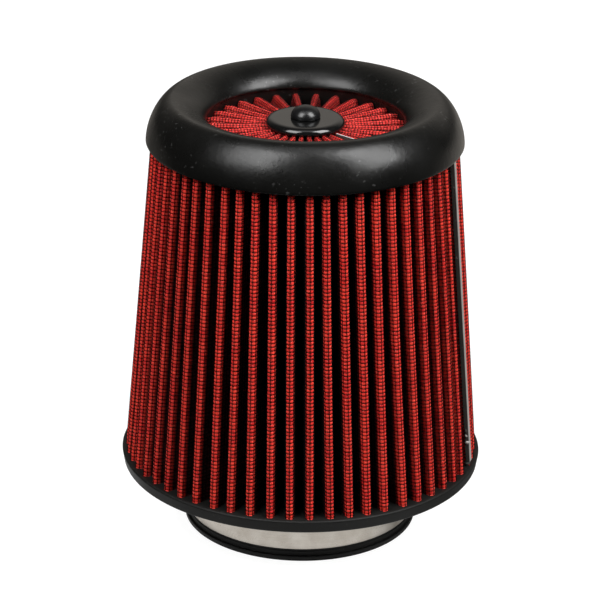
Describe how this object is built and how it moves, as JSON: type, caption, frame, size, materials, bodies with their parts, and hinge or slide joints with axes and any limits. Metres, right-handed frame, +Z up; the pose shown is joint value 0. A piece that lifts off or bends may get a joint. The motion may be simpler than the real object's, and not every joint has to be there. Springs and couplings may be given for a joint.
{
  "type": "cone air filter",
  "caption": "Clamp-on cone air filter with a pleated red gauze wall, a moulded black flange, a soft top ring and a pleated rosette inside it.",
  "frame": {"origin": "centre of the flange's lower face, where the filter stands; the base rim is centred on it", "axes": "+Z up the axis of the cone from the flange to the top ring, -Y towards the viewer of the picture, +X to the right"},
  "size_m": [0.168, 0.168, 0.2064],
  "materials": {
    "flange_rubber": "matte moulded",
    "ring_rubber": "satin moulded",
    "red_gauze": "oiled cotton gauze",
    "screen_wire": "coated wire mesh",
    "clip_alloy": "bright rolled strip",
    "hub_plastic": "gloss moulded",
    "plated_steel": "zinc plated",
    "clamp_steel": "rolled stainless strip"
  },
  "bodies": {
    "filter": {"base_flange": "flange_rubber", "outer_screen": "screen_wire", "gauze_media": "red_gauze", "inner_screen": "screen_wire", "seam_clip": "clip_alloy", "top_ring": "ring_rubber", "rosette_outer_screen": "screen_wire", "rosette_gauze": "red_gauze", "rosette_inner_screen": "screen_wire", "rosette_seam_strip": "clip_alloy", "hub_plate": "hub_plastic", "hub_under_plate": "hub_plastic", "hub_stud": "plated_steel", "hub_nut": "plated_steel", "dome_cap": "hub_plastic", "clamp_band": "clamp_steel", "clamp_saddle": "clamp_steel", "clamp_housing": "clamp_steel"},
    "clamp_screw": {"clamp_screw": "plated_steel"}
  },
  "joints": [
    {"name": "clamp_screw_turn", "type": "hinge", "parent": "filter", "child": "clamp_screw", "pos_m": [0, 0.05815, 0.01225], "axis": [1, 0, 0], "continuous": true}
  ]
}
